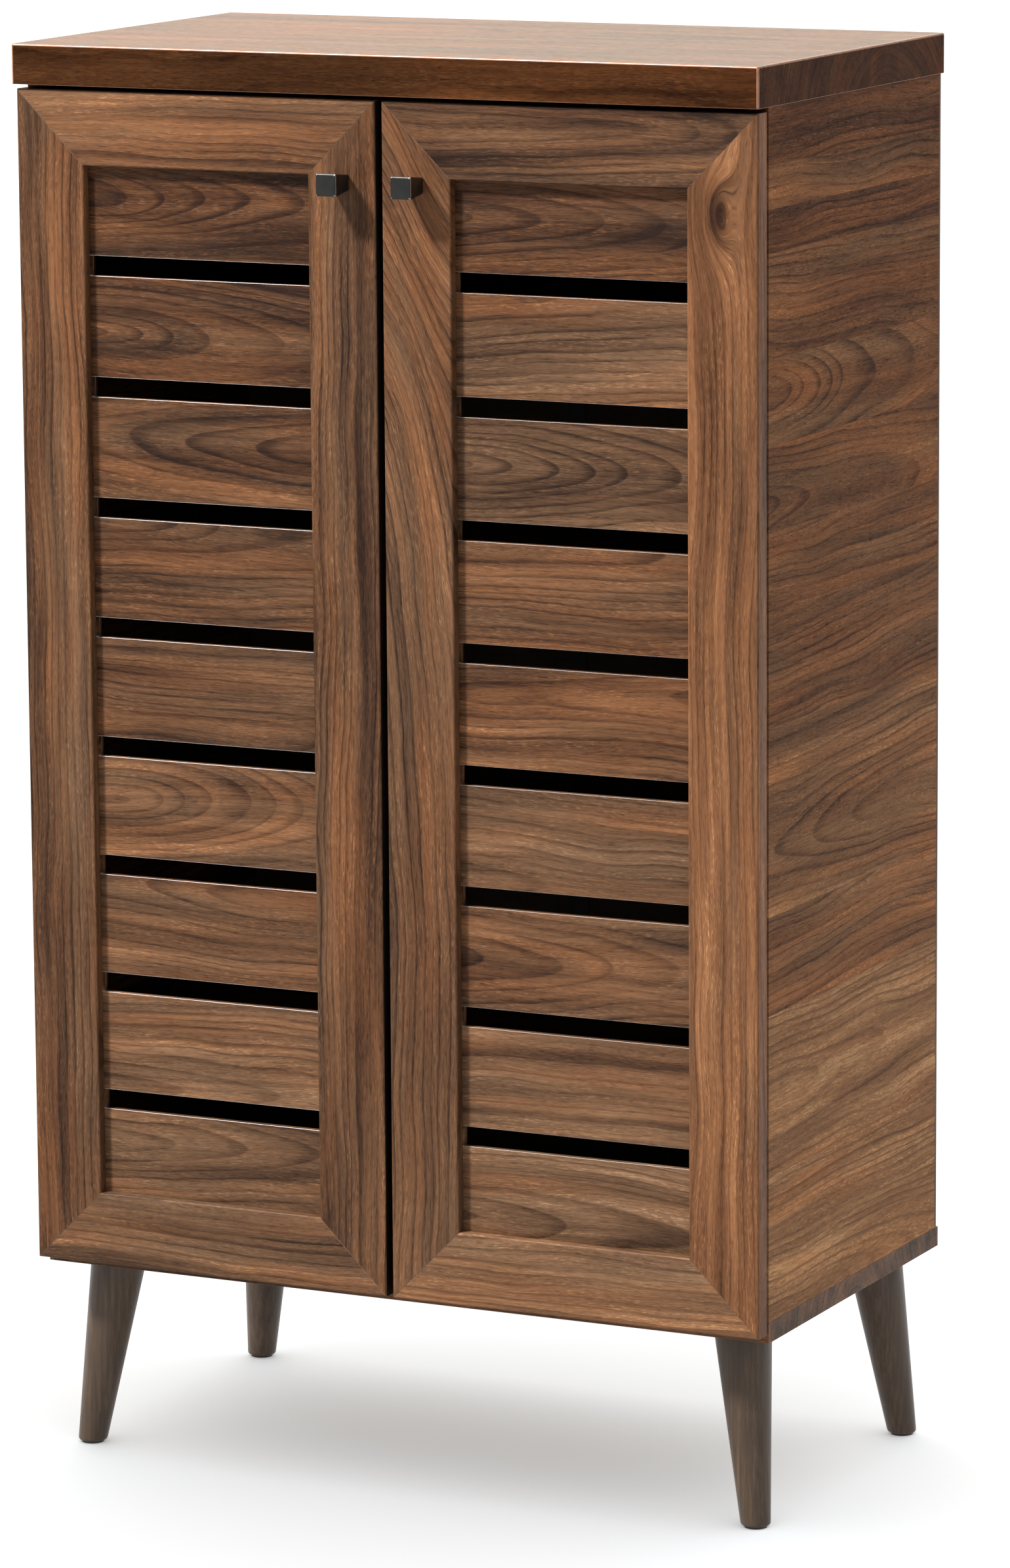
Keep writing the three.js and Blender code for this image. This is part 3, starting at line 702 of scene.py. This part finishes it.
FLOOR_SIZE = 400                       # metres, so that its far edge is never seen
FLOOR_COLOUR = (0.9, 0.92, 0.945, 1)
FLOOR_GLOW = 0.25
SKY_AT_HORIZON = 0.1
SKY_OVERHEAD = 1.3
BACKLIGHT = Vector((-0.44, 0.88, 0.18))    # the way to a bright patch behind the cabinet
BACKLIGHT_STRENGTH = 1.3
BACKLIGHT_COLOUR = (1, 0.96, 0.82, 1)
KEY_TOWARDS = (-20, -25, 36)
KEY_DISTANCE = 6.0
KEY_SIZE = (0.7, 0.7)
KEY_POWER = 800


def floor():
    bpy.ops.mesh.primitive_plane_add(size=FLOOR_SIZE)
    plane = bpy.context.object
    plane.name = "studio_floor"
    material, _, principled = shader("studio_floor", 0.9, Specular_IOR_Level=0.0)
    principled.inputs["Base Color"].default_value = FLOOR_COLOUR
    principled.inputs["Emission Color"].default_value = (1, 1, 1, 1)
    principled.inputs["Emission Strength"].default_value = FLOOR_GLOW
    plane.data.materials.append(material)
    return plane


def area_light(name, towards, distance, size, power, aim):
    """A soft box that looks at `aim` from the given direction."""
    data = bpy.data.lights.new(name, "AREA")
    data.shape = "RECTANGLE"
    data.size, data.size_y = size
    data.energy = power
    light = bpy.data.objects.new(name, data)
    light.location = aim + Vector(towards).normalized() * distance
    light.rotation_euler = (light.location - aim).to_track_quat("Z", "Y").to_euler()
    light.visible_camera = False
    bpy.context.scene.collection.objects.link(light)
    return light


def world():
    """White to the camera; to the cabinet it is a soft sky, dimmer towards the horizon."""
    made = bpy.data.worlds.new("studio")
    made.use_nodes = True
    t = Tree(made.node_tree)
    background = made.node_tree.nodes["Background"]
    direction = t.node("ShaderNodeTexCoord").outputs["Generated"]
    height = t.split(direction)[2]
    sky = t.span(height, 0.0, 0.8, SKY_AT_HORIZON, SKY_OVERHEAD)
    towards = t.node("ShaderNodeVectorMath", operation="DOT_PRODUCT")
    t.feed(towards.inputs[0], direction)
    t.feed(towards.inputs[1], BACKLIGHT)
    backlit = t.span(towards.outputs["Value"], 0.7, 0.97, smooth=True)
    sky = t.mul_add(backlit, BACKLIGHT_STRENGTH, sky)
    unseen = t.sub(1.0, t.node("ShaderNodeLightPath").outputs["Is Camera Ray"])
    white = (1, 1, 1, 1)
    t.feed(background.inputs["Strength"], t.mul_add(t.sub(sky, 1.0), unseen, 1.0))
    t.feed(background.inputs["Color"], t.mix(t.mul(unseen, backlit), white, BACKLIGHT_COLOUR))
    bpy.context.scene.world = made


# The photograph's view: where the camera stands and how it is turned.
CAMERA_PLACE = Vector((2.2770, -4.6249, 1.4556))
CAMERA_AZIMUTH = 25.995
CAMERA_PITCH = 10.371
CAMERA_ROLL = -0.398
CAMERA_LENS = 160.5


def camera():
    data = bpy.data.cameras.new("camera")
    data.lens = CAMERA_LENS
    data.sensor_width = 36
    eye = bpy.data.objects.new("camera", data)
    turn = (Matrix.Rotation(radians(CAMERA_AZIMUTH), 4, "Z")
            @ Matrix.Rotation(radians(90 - CAMERA_PITCH), 4, "X")
            @ Matrix.Rotation(radians(CAMERA_ROLL), 4, "Z"))
    eye.matrix_world = Matrix.Translation(CAMERA_PLACE) @ turn
    bpy.context.scene.collection.objects.link(eye)
    bpy.context.scene.camera = eye


def studio():
    ground = floor()
    world()
    middle = Vector((0, 0, 0.55))
    key = area_light("key", KEY_TOWARDS, KEY_DISTANCE, KEY_SIZE, KEY_POWER, middle)
    # The sky alone lights the floor, so that only the soft shadow under the cabinet shows on it.
    unlit = bpy.data.collections.new("not_lit_by_key")
    unlit.objects.link(ground)
    unlit.collection_objects[0].light_linking.link_state = "EXCLUDE"
    key.light_linking.receiver_collection = unlit
    camera()
    bpy.context.scene.view_settings.view_transform = "Standard"


carcass()
shelves()
doors()
fittings()
studio()
